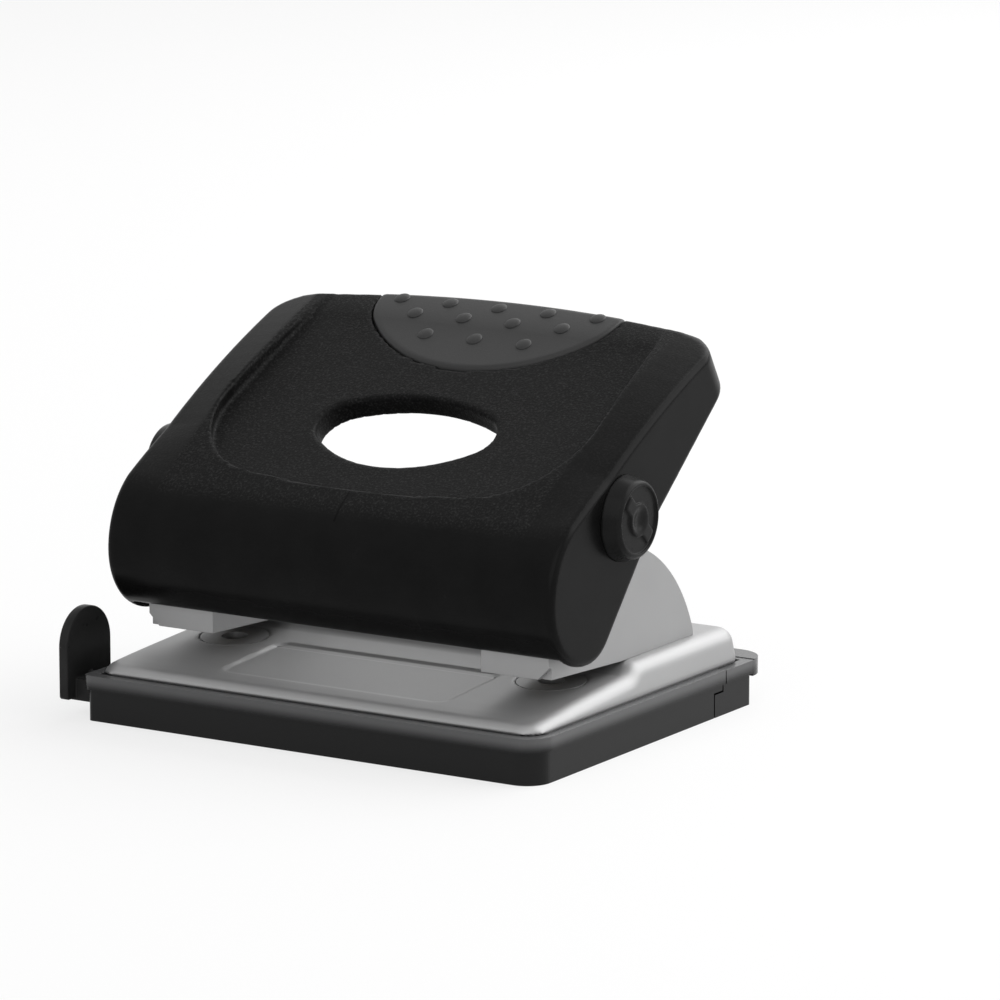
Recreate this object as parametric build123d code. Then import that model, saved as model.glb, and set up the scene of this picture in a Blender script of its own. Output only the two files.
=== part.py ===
from build123d import *
from math import sin, cos, radians, pi, sqrt
import os

os.makedirs("parts", exist_ok=True)

# Two-hole punch, millimetres. X runs across, Y from the paper side to the grip side, Z up.
# The origin is the middle of the tray's footprint, on the table.

# Chip tray
tray_width = 112.0
tray_depth = 88.0
skirt_height = 6.9
rim_top = 10.0
rim_overhang = 0.8
tray_wall = 1.8
tray_floor = 1.6
tray_corner = 5.5
sharp_corner = 1.2
floor_overlap = 0.5

# Rear door of the tray
door_seam_low = 28.0
door_seam_high = 31.6
door_step = 5.4
door_gap = 0.4
door_top_gap = 0.15
tab_reach = 5.7
tab_bottom = 6.4
tab_corner = 7.0
door_pin_radius = 0.75
door_pin_fit = 0.06
door_pin_inset = 3.2
door_pin_height = 1.4
door_knuckle = 1.3
door_tongue_x = 42.0
door_tongue = 8.0
door_ear = 2.5
door_side_gap = 0.3

# Base plate, pressed sheet; heights are above the tray's rim
sheet = 1.2
plate_margin = 1.2
plate_front_rise = 2.3
slope_end = -2.0
slope_end_rise = 4.9
riser_run = 2.0
plateau_rise = 7.3
plate_round = 2.0
plate_side_bevel = 2.2
plate_front_drop = 0.9
plate_front_run = 4.5
plate_corner = 5.0
panel_half = 28.0
panel_front = -35.0
panel_back = -11.5
panel_depth = 0.5
panel_corner = 3.0

# Punching
hole_spacing = 80.0
pin_radius = 2.75
pin_y = -12.0
pin_fit = 0.05
die_fit = 0.07
die_radius = 7.4
die_height = 2.0
tip_clearance = 0.2
tip_notch = 1.2
tip_notch_half = 1.6

# Carriers, bent sheet boxes that hold one pin each; heights are above the plateau
carrier_inside = 6.4
carrier_outside = 10.0
carrier_front = -29.4
carrier_rear = 29.2
slot_lift = 1.5
flange_rise = 9.1
shelf_rise = 8.7
shelf_depth = 27.0
flange_cut = 1.8
fin_start = 8.0
fin_bulge = 2.6
ear_radius = 6.4
inner_wall_rise = 13.0
inner_wall_set_back = 6.0

# Pivot
pivot_y = -9.0
pivot_rise = 32.7
axle_radius = 3.0
axle_fit = 0.06
press_angle = 28.0
cap_base_radius = 9.2
cap_face_radius = 8.0
cap_thickness = 4.0
cap_recess = 0.6
cap_rim = 0.9
cap_hub = 2.6
cap_bar = 3.2
clip_radius = 5.0
clip_thickness = 0.8
clip_gap = 0.05
clip_mouth = 3.0

# Lever bracket and drive studs; heights and lengths are from the pivot
arm_gap = 0.6
arm_sheet = 1.5
stud_arm = 12.6
stud_lead = 6.0
stud_radius = 2.5
stud_fit = 0.15
stud_head = 3.6
stud_head_height = 0.7
stud_reach = 12.0
web_front = -19.4
web_back = -10.4
web_low = -4.4
web_screw_x = 26.0
arm_outline = ((-5.0, 6.5), (23.0, 19.6), (32.0, 19.6), (32.0, 15.6), (17.0, 2.3), (12.5, -3.2), (0.0, -6.0))
tab_depth = 8.0
tab_length = 9.0

# Pin carriages
carriage_gap = 0.3
carriage_nose = 5.0
carriage_rear = 18.0
carriage_drop = 10.0
carriage_top = 6.0
axle_room = 0.6
below_axle = 1.0

# Bushes and springs
bush_wall = 1.7
bush_flange = 1.2
bush_rim = 0.6
bush_clear = 0.05
lower_bush_height = 3.0
upper_bush_height = 3.2
spring_wire = 0.9
spring_turns = 5
spring_clear = 0.8
spring_seat = 0.05

# Handle cover; outline points are (y, z) from the pivot
wall = 2.4
cover_gap = 0.3
roll_points = ((-13.0, -28.8), (-24.0, -24.5), (-28.3, -14.0))
brow_points = ((-28.3, -14.0), (-26.3, -5.6), (-20.8, 1.0))
crown_points = ((-20.8, 1.0), (13.5, 21.6), (47.0, 35.1))
heel_points = ((51.3, 28.2), (14.5, -2.0), (-5.0, -24.5))
heel_middle = (-8.5, -27.6)
front_lip_z = -26.4
flange_gap = 0.4
slope_angle = 31.0
lip_run_middle = 55.0
lip_run_side = 48.6
recess_points = ((41.0, 51.0), (44.6, 21.0), (45.8, 6.0), (42.2, -7.8), (30.0, -15.6))
recess_front = -17.6
floor_points = ((-20.0, 0.9), (-6.0, 7.9), (14.0, 18.5), (30.3, 27.3), (36.3, 31.1), (47.2, 35.3), (69.0, 44.0))
oval_half_width = 21.5
oval_half_length = 12.5
oval_y = 4.4
oval_z = 12.0
boss_wall = 1.8
boss_engage = 3.6
collar_depth = 5.0
collar_wall = 1.2

# Grip pad
pad_half = 30.5
pad_front = 22.0
pad_corner_y = 36.5
pad_sink = 1.4
pad_proud = 0.5
pad_gap = 0.1
pad_wrap = 5.0
bump_radius = 1.7
bump_height = 0.8
bump_pitch = 12.4
bump_rows = (30.3, 35.8, 41.3)
bump_counts = (3, 4, 5)

# Paper guide
guide_reach = 4.9
guide_thickness = 2.2
guide_overhang = 0.4
guide_depth = 16.0
guide_bottom = 3.7
guide_top = 22.9
guide_foot_corner = 0.8
arm_width = 10.8
arm_side_gap = 0.8
arm_low = 3.2
arm_height = 4.8
arm_end = 38.0
arm_clear = 0.3
rail_gap = 0.1
rib_height = 0.7
rib_width = 1.2

# Fasteners
rivet_radius = 2.0
rivet_head = 3.4
rivet_head_height = 1.1
rivet_front = 7.0
screw_radius = 1.4
screw_head = 2.7
screw_head_height = 1.5
screw_head_sink = 0.6
screw_hole_gap = 0.1
screw_x = 49.0
screw_front = -25.0
screw_clear = 0.4
tie_y = 16.0
tie_rise = 6.7
tie_radius = 2.5

# Worked out from the sizes above
cut = 1.0
far = 200.0
plate_half = tray_width / 2 - plate_margin
plate_front = -tray_depth / 2 + plate_margin
plate_rear = tray_depth / 2 - plate_margin
plateau_z = rim_top + plateau_rise
slope_rise = (slope_end_rise - plate_front_rise) / (slope_end - plate_front)
pin_x = hole_spacing / 2
boss_radius = screw_radius + boss_wall
rivet_rear = rivet_front + 2 * (rivet_head + screw_clear + boss_radius)
rivet_rows = (rivet_front, rivet_rear)
screw_rows = (screw_front, (rivet_front + rivet_rear) / 2)
carrier_inner = pin_x - carrier_inside
carrier_outer = pin_x + carrier_outside
carrier_middle = (carrier_inner + carrier_outer) / 2
pivot_z = plateau_z + pivot_rise
shelf_z = plateau_z + shelf_rise
fin_top = pivot_z - carriage_drop
carriage_low_top = pivot_z - axle_radius - below_axle
press = radians(press_angle)
lead = radians(stud_lead)
stud_y = pivot_y + stud_arm * cos(lead)
stud_z = pivot_z + stud_arm * sin(lead)
arm_inner = carrier_outer + arm_gap
arm_outer = arm_inner + arm_sheet
inside_half = arm_outer + clip_thickness + cover_gap
cover_half = inside_half + wall
slope = radians(slope_angle)
along = (cos(slope), sin(slope))
guide_front = -tray_depth / 2 - guide_overhang
guide_back = guide_front + guide_depth
guide_arm_front = -tray_depth / 2 + tray_wall + arm_side_gap
guide_arm_back = guide_arm_front + arm_width
door_axis_y = door_seam_low - door_pin_inset


def plate_top(y):
    """Height of the sloped paper table at y."""
    return rim_top + plate_front_rise + slope_rise * (y - plate_front)


def plate_underside(y):
    return (plate_top(y) if y < slope_end else plateau_z) - sheet


def slot_roof(y):
    """Underside of the carriers at y: flat on the plateau, lifted towards the front."""
    return plateau_z + slot_lift * max(0.0, -y) / -carrier_front


def box(x0, x1, y0, y1, z0, z1):
    return Pos((x0 + x1) / 2, (y0 + y1) / 2, (z0 + z1) / 2) * Box(abs(x1 - x0), abs(y1 - y0), abs(z1 - z0))


def upright(x, y, z0, z1, radius):
    return Pos(x, y, (z0 + z1) / 2) * Cylinder(radius, z1 - z0)


def across(x0, x1, y, z, radius):
    return Pos((x0 + x1) / 2, y, z) * Rot(0, 90, 0) * Cylinder(radius, abs(x1 - x0))


def side_solid(edges, x0, x1):
    """Solid with a Y-Z outline made of the given edges, from x0 to x1."""
    face = Plane.YZ * make_face(Wire(edges))
    return Pos(x0, 0, 0) * extrude(face, x1 - x0, dir=(1, 0, 0))


def side_plate(points, x0, x1):
    """Solid with a straight-sided Y-Z outline, from x0 to x1."""
    return side_solid(Polyline(*points, close=True).edges(), x0, x1)


def mirrored(part):
    return mirror(part, about=Plane.YZ)


def save(part, name, colour):
    part.label = name
    part.color = Color(*colour)
    export_step(part, f"parts/{name}.step")


def save_pair(right, name, colour):
    save(right, f"{name}_right", colour)
    save(mirrored(right), f"{name}_left", colour)


def rounded_box(half_x, half_y, z0, z1, radius):
    sketch = RectangleRounded(2 * half_x, 2 * half_y, radius)
    return Pos(0, 0, z0) * extrude(sketch, z1 - z0)


# Chip tray, with its full depth before the rear door is parted off
def tray_block(grow, z0, z1):
    """Tray's plan moved outwards by grow: only the right front corner is well rounded."""
    half_x, half_y = tray_width / 2 + grow, tray_depth / 2 + grow
    plan = Rectangle(2 * half_x, 2 * half_y)
    plan = fillet(plan.vertices().sort_by(lambda v: v.X - v.Y)[-1], tray_corner + grow)
    if sharp_corner + grow > 0:
        plan = fillet([v for v in plan.vertices() if abs(v.X) + abs(v.Y) > half_x + half_y - cut],
                      sharp_corner + grow)
    return Pos(0, 0, z0) * extrude(plan, z1 - z0)


def tray_shell():
    shell = tray_block(0, 0, rim_top) + tray_block(rim_overhang, skirt_height, rim_top)
    return shell - tray_block(-tray_wall, tray_floor, rim_top + cut)


def door_zone(gap):
    """Everything behind the stepped seam, moved back by gap."""
    lower = box(-far, far, door_seam_low + gap, far, -cut, door_step - gap)
    return lower + box(-far, far, door_seam_high + gap, far, -cut, far)


def screw_places():
    return [(side * screw_x, row) for side in (-1, 1) for row in screw_rows]


def chip_tray():
    tray = tray_shell() - door_zone(0)
    divider = guide_arm_back + arm_clear
    inside = tray_width / 2 - tray_wall + floor_overlap
    low = tray_floor - floor_overlap
    tray += box(-inside, inside, divider, divider + sheet, low, rim_top)
    for rail in (guide_arm_front, guide_arm_back - sheet):
        tray += box(-inside, arm_end, rail, rail + sheet, low, arm_low - rail_gap)
    tray -= box(-far, -tray_width / 2 + tray_corner, guide_arm_front - arm_clear, divider,
                arm_low - arm_clear, arm_low + arm_height + rib_height + arm_clear)
    for x, y in screw_places():
        tray += upright(x, y, low, plate_underside(y - boss_radius) - screw_hole_gap, boss_radius)
    for x, y in screw_places():
        tray -= upright(x, y, -cut, screw_head_height + screw_head_sink, screw_head + screw_hole_gap)
        tray -= upright(x, y, 0, far, screw_radius + screw_hole_gap)
    notch = door_tongue / 2 + door_side_gap
    ear = notch + door_ear
    front = door_axis_y - door_knuckle - 2 * door_side_gap
    top = door_pin_height + door_knuckle
    for x in (-door_tongue_x, door_tongue_x):
        tray += box(x - ear, x + ear, front, door_seam_low, 0, top)
        tray -= box(x - notch, x + notch, front, door_seam_low + cut, -cut, top + cut)
        tray -= across(x - ear, x + ear, door_axis_y, door_pin_height, door_pin_radius)
    return tray


# Rear door of the tray, with its finger tab and two hinge tongues
def chip_door():
    door = tray_shell() & door_zone(door_gap)
    reach = tray_depth / 2 + rim_overhang + tab_reach
    tab = rounded_box(tray_width / 2 + rim_overhang, reach, tab_bottom, rim_top, tab_corner)
    door += tab & box(-far, far, tray_depth / 2 - tray_wall / 2, far, tab_bottom, rim_top)
    door -= box(-far, far, 0, tray_depth / 2, rim_top - door_top_gap, far)
    bore = door_pin_radius + door_pin_fit
    for x in (-door_tongue_x, door_tongue_x):
        left, right = x - door_tongue / 2, x + door_tongue / 2
        door += across(left, right, door_axis_y, door_pin_height, door_knuckle)
        door += box(left, right, door_axis_y, door_seam_low + 2 * door_gap + floor_overlap,
                    door_pin_height - door_knuckle, tray_floor)
        door -= across(left - cut, right + cut, door_axis_y, door_pin_height, bore)
    return door


def door_hinge_pins():
    half = door_tongue / 2 + door_side_gap + door_ear
    return [across(x - half, x + half, door_axis_y, door_pin_height, door_pin_radius)
            for x in (-door_tongue_x, door_tongue_x)]


# Base plate: a sloped paper table in front, then a riser that stops the paper, then the plateau
def plate_outline(inset):
    low, high = plate_front + inset, plate_rear - inset
    bend, end = low + plate_front_run, rim_top + slope_end_rise
    return [(low, rim_top), (low, plate_top(low) - plate_front_drop - inset), (bend, plate_top(bend) - inset),
            (slope_end + inset, end - inset),
            (slope_end + riser_run + inset, plateau_z - inset), (high, plateau_z - inset), (high, rim_top)]


def edge_wedge(y0, y1, top, rise):
    """Wedge that bevels the right edge of a surface from y0 to y1, with its height and its rise."""
    inner, low = plate_half - plate_side_bevel - cut, top - plate_side_bevel - cut
    points = [(plate_half + cut, y0, low), (inner, y0, top + cut), (plate_half + cut, y0, top + cut)]
    edges = [Line(a, b) for a, b in zip(points, points[1:] + points[:1])]
    length = (y1 - y0) * sqrt(1 + rise ** 2)
    return extrude(make_face(Wire(edges)), length, dir=(0, 1, rise))


def base_plate():
    body = side_plate(plate_outline(0), -plate_half, plate_half)
    body = fillet(body.edges().filter_by(Axis.Z), plate_corner)
    rear = body.faces().sort_by(Axis.Z)[-1].edges().filter_by(Axis.X).sort_by(Axis.Y)[-1]
    body = fillet(rear, plate_round)
    wedges = edge_wedge(plate_front, slope_end, plate_top(plate_front), slope_rise)
    wedges += edge_wedge(slope_end, plate_rear, plateau_z, 0)
    body = body - wedges - mirrored(wedges)
    core = side_plate(plate_outline(sheet), -plate_half + sheet, plate_half - sheet)
    core = fillet(core.edges().filter_by(Axis.Z), plate_corner - sheet)
    table = Plane(origin=(0, plate_front, plate_top(plate_front)), z_dir=(0, -slope_rise, 1))
    panel_y = (panel_front + panel_back) / 2 - plate_front
    panel = table * Pos(0, panel_y, -panel_depth) * extrude(
        RectangleRounded(2 * panel_half, panel_back - panel_front, panel_corner), panel_depth + cut)
    body = body - core - panel
    for side in (-1, 1):
        body -= upright(side * pin_x, pin_y, rim_top, far, die_radius)
        for row in rivet_rows:
            body -= upright(side * carrier_middle, row, rim_top, far, rivet_radius)
    for x, y in screw_places():
        body -= upright(x, y, rim_top, plate_underside(y) + sheet / 2, screw_radius)
    return body


def base_screws():
    screws = []
    for x, y in screw_places():
        seat = screw_head_height + screw_head_sink
        head = upright(x, y, seat - screw_head_height, seat, screw_head)
        screws.append(head + upright(x, y, seat, plate_underside(y) + sheet / 2, screw_radius))
    return screws


def die():
    """Right ring, level below and flush with the sloping table above."""
    front, rear, low = pin_y - die_radius, pin_y + die_radius, plate_top(pin_y) - die_height
    slope = [(front, low), (front, plate_top(front)), (rear, plate_top(rear)), (rear, low)]
    ring = side_plate(slope, pin_x - die_radius, pin_x + die_radius)
    ring &= upright(pin_x, pin_y, low, plate_top(rear), die_radius)
    return ring - upright(pin_x, pin_y, 0, far, pin_radius + die_fit)


# Carrier: floor, outer cheek with the pivot ear, inner wall, front flange and guide shelf
def carrier():
    front, rear = carrier_front, carrier_rear
    roof = slot_roof(front)
    flange_top = plateau_z + flange_rise
    floor = side_plate([(front, roof), (0, plateau_z), (rear, plateau_z), (rear, plateau_z + sheet),
                        (0, plateau_z + sheet), (front, roof + sheet)], carrier_inner, carrier_outer)
    ear_back, ear_front = pivot_y + ear_radius, pivot_y - ear_radius
    fin_middle = ((rear + fin_start) / 2 + fin_bulge, (plateau_z + fin_top) / 2 + fin_bulge)
    upper = [(fin_start, fin_top), (ear_back, fin_top), (ear_back, pivot_z), (ear_front, pivot_z),
             (front, flange_top), (front, roof), (0, plateau_z), (rear, plateau_z), (rear, plateau_z + sheet)]
    edges = [Line(a, b) for a, b in zip(upper, upper[1:])]
    edges.append(ThreePointArc(upper[-1], fin_middle, upper[0]))
    cheek = side_solid(edges, carrier_outer - sheet, carrier_outer)
    cheek += across(carrier_outer - sheet, carrier_outer, pivot_y, pivot_z, ear_radius)
    upper[-1] = (rear - inner_wall_set_back, plateau_z + inner_wall_rise)
    inner = side_plate(upper, carrier_inner, carrier_inner + sheet)
    inner += across(carrier_inner, carrier_inner + sheet, pivot_y, pivot_z, ear_radius)
    body = floor + cheek + inner
    body += box(carrier_inner, carrier_outer, front, front + sheet, roof, flange_top)
    body += box(carrier_inner, carrier_outer, front, front + shelf_depth, shelf_z - sheet, shelf_z)
    body -= Pos(carrier_outer, front, roof) * Rot(0, 45, 0) * Box(2 * flange_cut, 2 * sheet, 2 * flange_cut)
    body -= across(carrier_inner - cut, carrier_outer + cut, pivot_y, pivot_z, axle_radius + axle_fit)
    body -= upright(pin_x, pin_y, 0, shelf_z + cut, pin_radius + bush_wall)
    body -= across(carrier_inner - cut, carrier_inner + sheet + cut, tie_y, plateau_z + tie_rise, tie_radius)
    for row in rivet_rows:
        body -= upright(carrier_middle, row, 0, plateau_z + sheet + cut, rivet_radius)
    return body


def frame_rivets():
    low, high = plateau_z - sheet, plateau_z + sheet
    rivets = []
    for side in (-1, 1):
        for row in rivet_rows:
            x = side * carrier_middle
            shank = upright(x, row, low, high, rivet_radius)
            heads = upright(x, row, low - rivet_head_height, low, rivet_head)
            heads += upright(x, row, high, high + rivet_head_height, rivet_head)
            rivets.append(shank + heads)
    return rivets


def tie_rod():
    half = carrier_inner + sheet
    return across(-half, half, tie_y, plateau_z + tie_rise, tie_radius)


# Punch pins, the bushes that guide them and their return springs
def bush(low, seat, high):
    """Flanged sleeve around a pin: body from low to high, flange standing on seat."""
    sleeve = upright(pin_x, pin_y, low, high, pin_radius + bush_wall)
    sleeve += upright(pin_x, pin_y, seat, seat + bush_flange, pin_radius + bush_wall + bush_rim)
    return sleeve - upright(pin_x, pin_y, 0, far, pin_radius + pin_fit)


def lower_bush():
    low = slot_roof(pin_y) + bush_clear
    seat = slot_roof(pin_y - pin_radius - bush_wall - bush_rim) + sheet
    return bush(low, seat, low + sheet + lower_bush_height)


def upper_bush():
    return bush(shelf_z - upper_bush_height, shelf_z, shelf_z + bush_flange)


def punch_pin():
    tip = slot_roof(pin_y) + tip_clearance
    pin = upright(pin_x, pin_y, tip, carriage_low_top, pin_radius)
    notch = side_plate([(pin_y - tip_notch_half, tip - cut), (pin_y - tip_notch_half, tip), (pin_y, tip + tip_notch),
                        (pin_y + tip_notch_half, tip), (pin_y + tip_notch_half, tip - cut)],
                       pin_x - 2 * pin_radius, pin_x + 2 * pin_radius)
    return pin - notch


def quarter_arcs(start, end, leaving, arriving):
    """Two arcs that run smoothly from start to end with the given directions."""
    chord = end - start
    a, b, c = 2 * (leaving.dot(arriving) - 1), -2 * chord.dot(leaving + arriving), chord.dot(chord)
    reach = (-b - sqrt(b * b - 4 * a * c)) / (2 * a)
    first, second = start + leaving * reach, end - arriving * reach
    middle = (first + second) / 2
    return [Edge.make_tangent_arc(start, leaving, middle),
            Edge.make_tangent_arc(middle, (second - first).normalized(), end)]


def self_gap(points, wire):
    """Least clear gap of a wire to itself, measured between points over half a turn apart."""
    half_turn = len(points) // (2 * spring_turns)
    nearest = min((points[i] - points[j]).length
                  for i in range(len(points)) for j in range(i + half_turn, len(points)))
    return nearest - wire


def pin_spring():
    low = shelf_z + bush_flange + spring_seat + spring_wire / 2
    high = pivot_z - carriage_drop - spring_seat - spring_wire / 2
    radius = pin_radius + spring_clear + spring_wire / 2
    climb = (high - low) / (2 * pi * spring_turns)

    def place(angle):
        return Vector(pin_x + radius * cos(angle), pin_y + radius * sin(angle), low + climb * angle)

    def heading(angle):
        return Vector(-radius * sin(angle), radius * cos(angle), climb).normalized()

    angles = [pi / 2 * k for k in range(4 * spring_turns + 1)]
    edges = []
    for a, b in zip(angles, angles[1:]):
        edges += quarter_arcs(place(a), place(b), heading(a), heading(b))
    path = Wire(edges)
    points = [path @ (k / 240) for k in range(241)]
    print(f"pin_spring: least gap between turns {self_gap(points, spring_wire):.2f} mm")
    profile = Plane(origin=place(0), z_dir=heading(0)) * Circle(spring_wire / 2)
    return sweep(profile, path=path)


def carriage():
    low_x, high_x = carrier_inner + sheet + carriage_gap, carrier_outer - sheet - carriage_gap
    split = pivot_y + axle_radius + axle_room
    bottom = pivot_z - carriage_drop
    block = box(low_x, high_x, pin_y - carriage_nose, split, bottom, carriage_low_top)
    block += box(low_x, high_x, split, pivot_y + carriage_rear, bottom, pivot_z + carriage_top)
    block -= upright(pin_x, pin_y, 0, far, pin_radius)
    near, furthest = pivot_y + stud_arm * cos(press - lead), pivot_y + stud_arm
    room = stud_radius + stud_fit
    block -= box(low_x - cut, high_x + cut, near, furthest, stud_z - room, stud_z + room)
    for y in (near, furthest):
        block -= across(low_x - cut, high_x + cut, y, stud_z, room)
    return block


# Pivot axle with its caps and clips
def pivot_axle():
    half = cover_half + cap_thickness / 2
    return across(-half, half, pivot_y, pivot_z, axle_radius)


def axle_clip():
    low = arm_outer + clip_gap
    ring = across(low, low + clip_thickness, pivot_y, pivot_z, clip_radius)
    ring -= across(arm_outer, cover_half, pivot_y, pivot_z, axle_radius)
    return ring - box(arm_outer, cover_half, pivot_y - clip_mouth / 2, pivot_y + clip_mouth / 2,
                      pivot_z - 2 * clip_radius, pivot_z)


def axle_cap():
    face = cover_half + cap_thickness
    body = across(cover_half, face, pivot_y, pivot_z, cap_base_radius)
    rim = body.edges().filter_by(GeomType.CIRCLE).sort_by(Axis.X)[-1]
    body = chamfer(rim, cap_base_radius - cap_face_radius)
    dish = across(face - cap_recess, face + cut, pivot_y, pivot_z, cap_face_radius - cap_rim)
    dish -= Pos(face, pivot_y, pivot_z) * Rot(45, 0, 0) * Box(4 * cut, 4 * cap_face_radius, cap_bar)
    dish -= across(face - cap_recess, face + cut, pivot_y, pivot_z, cap_hub)
    body -= dish
    return body - across(0, cover_half + cap_thickness / 2, pivot_y, pivot_z, axle_radius)


# Lever bracket: two stamped arms outside the carriers joined by a web in front
def at_pivot(points):
    return [(pivot_y + y, pivot_z + z) for y, z in points]


def web_span():
    return pivot_z + web_low, pivot_z + web_low + arm_sheet


def cover_screw_places():
    """Where the cover's screws pass the right half of the bracket: x, y, underside of the sheet."""
    tab_rear, tab_z = at_pivot(arm_outline[2:3])[0]
    web_y = pivot_y + (web_front + web_back) / 2
    return [(web_screw_x, web_y, web_span()[0]),
            (arm_inner - screw_head - screw_hole_gap, tab_rear - tab_length / 2, tab_z - arm_sheet)]


def cover_screw_head(x, y, z):
    """Countersunk head, as deep as the bracket's sheet and flush with its underside."""
    return Pos(x, y, z + arm_sheet / 2) * Cone(screw_head, screw_radius, arm_sheet)


def lever_bracket():
    low, high = web_span()
    front, back = pivot_y + web_front, pivot_y + web_back
    arm = side_plate([(back, low), (front, low), (front, high)] + at_pivot(arm_outline), arm_inner, arm_outer)
    tab_rear, tab_z = at_pivot(arm_outline[2:3])[0]
    arm += box(arm_outer - tab_depth, arm_outer, tab_rear - tab_length, tab_rear, tab_z - arm_sheet, tab_z)
    arm += box(0, arm_outer, front, back, low, high)
    arm -= across(arm_inner - cut, arm_outer + cut, pivot_y, pivot_z, axle_radius)
    arm -= across(arm_inner - cut, arm_outer + cut, stud_y, stud_z, stud_radius)
    for x, y, z in cover_screw_places():
        arm -= cover_screw_head(x, y, z)
    return arm + mirrored(arm)


def cover_screws():
    screws = []
    for x, y, z in cover_screw_places():
        screw = cover_screw_head(x, y, z)
        screw += upright(x, y, z + arm_sheet, z + arm_sheet + boss_engage, screw_radius)
        screws += [screw, mirrored(screw)]
    return screws


def drive_stud():
    stud = across(arm_outer - stud_reach, arm_outer, stud_y, stud_z, stud_radius)
    return stud + across(arm_outer, arm_outer + stud_head_height, stud_y, stud_z, stud_head)


# Handle cover: a moulded shell with a roll in front, a sunk panel, an oval window and a pad pocket
def inwards(curve, depth):
    """Start, middle and end of a side curve, moved to its inner side by depth."""
    points = []
    for share in (0, 0.5, 1):
        place, way = curve @ share, (curve % share).normalized()
        points.append((place.X + way.Y * depth, place.Y - way.X * depth))
    return points


def crown_curves():
    return [ThreePointArc(*at_pivot(points)) for points in (roll_points, brow_points, crown_points)]


def cover_block():
    roll, brow, crown = crown_curves()
    back, waist, heel, middle = at_pivot(heel_points + (heel_middle,))
    edges = [roll, brow, crown, Line(crown @ 1, back), Line(back, waist), Line(waist, heel),
             ThreePointArc(heel, middle, roll @ 0)]
    return side_solid(edges, -cover_half, cover_half)


def cover_inside():
    """Room inside the roll and the crown, open downwards."""
    roll, brow, crown = [inwards(curve, wall) for curve in crown_curves()]
    rear, low, front = crown[2][0] + cover_half, pivot_z + 2 * front_lip_z, roll[0][0]
    edges = [ThreePointArc(*roll[:2], brow[0]), ThreePointArc(*brow[:2], crown[0]), ThreePointArc(*crown),
             Line(crown[2], (rear, crown[2][1])), Line((rear, crown[2][1]), (rear, low)),
             Line((rear, low), (front, low)), Line((front, low), roll[0])]
    return side_solid(edges, -inside_half, inside_half)


def front_opening():
    """What lies under and behind the front lip, so that the front wall ends there."""
    lip, back = pivot_z + front_lip_z, pivot_y + roll_points[0][0]
    opening = box(-inside_half, inside_half, -far, back, 0, lip)
    return opening + box(-inside_half, inside_half, carrier_front - flange_gap, back, 0, lip + 2 * wall)


def tilted_plane():
    """Plane at the pivot whose Y runs up the slope of the handle."""
    return Plane(origin=(0, pivot_y, pivot_z), x_dir=(1, 0, 0), z_dir=(0, -along[1], along[0]))


def lip_prism(inset):
    """Plan seen square to the slope, whose rear edge bows back in the middle."""
    middle, side = lip_run_middle - inset, lip_run_side - inset
    half = cover_half + cut
    face = Wire([Line((-far, -far), (far, -far)), Line((far, -far), (far, side)), Line((far, side), (half, side)),
                 ThreePointArc((half, side), (0, middle), (-half, side)), Line((-half, side), (-far, side)),
                 Line((-far, side), (-far, -far))])
    return tilted_plane() * Pos(0, 0, -far) * extrude(make_face(face), 2 * far, dir=(0, 0, 1))


def recess_prism(grow):
    """Plan of the sunk panel: open to the rear, rounded in front."""
    right = [(x + grow, pivot_y + y - grow * (1 - min(1, x / recess_points[2][0]))) for x, y in recess_points]
    left = [(-x, y) for x, y in reversed(right)]
    front = (0, pivot_y + recess_front - grow)
    corner, other = (right[0][0], far), (left[-1][0], far)
    face = Wire([ThreePointArc(*right[:3]), ThreePointArc(*right[2:]), ThreePointArc(right[4], front, left[0]),
                 ThreePointArc(*left[:3]), ThreePointArc(*left[2:]), Line(left[4], other), Line(other, corner),
                 Line(corner, right[0])])
    return extrude(make_face(face), far, dir=(0, 0, 1))


def above_floor(drop):
    """Everything above the panel's floor and the rear of the crown, with both lowered by drop."""
    points = [(y, z - drop) for y, z in at_pivot(floor_points)]
    return side_plate(points + [(points[-1][0], far), (points[0][0], far)], -cover_half - cut, cover_half + cut)


def floor_height(y):
    """Height of the panel's floor at y."""
    points = at_pivot(floor_points)
    for (y0, z0), (y1, z1) in zip(points, points[1:]):
        if y0 <= y <= y1:
            return z0 + (z1 - z0) * (y - y0) / (y1 - y0)
    return points[-1][1]


def oval_prism(grow):
    """The window's oval, square to the slope, moved outwards by grow."""
    middle = Location((0, oval_y * along[0] + oval_z * along[1], 0))
    oval = Ellipse(oval_half_width + grow, oval_half_length + grow)
    return tilted_plane() * Pos(0, 0, -oval_half_length) * middle * extrude(oval, 3 * oval_half_length)


def oval_collar():
    """Rim that hangs from the panel round the window."""
    return oval_prism(collar_wall) & (above_floor(collar_depth / along[0]) - above_floor(wall))


def pad_region(grow):
    """Rear part of the panel that the pad covers, down to where it ends on the lip."""
    half, y = pad_half + grow, pivot_y + pad_corner_y
    front = ThreePointArc((-half, y), (0, pivot_y + pad_front - grow), (half, y))
    face = Wire([front, Line((half, y), (half, far)), Line((half, far), (-half, far)),
                 Line((-half, far), (-half, y))])
    rear = lip_run_middle * along[0]
    depth = (floor_height(pivot_y + rear) - pivot_z) * along[0] - rear * along[1] - pad_wrap - grow
    return extrude(make_face(face), far, dir=(0, 0, 1)) & tilted_plane() * box(-far, far, -far, far, depth, far)


def cover_outside(sink):
    """Region inside the panel's floor and the lip, both moved inwards by sink."""
    return lip_prism(sink) - above_floor(sink)


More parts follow.
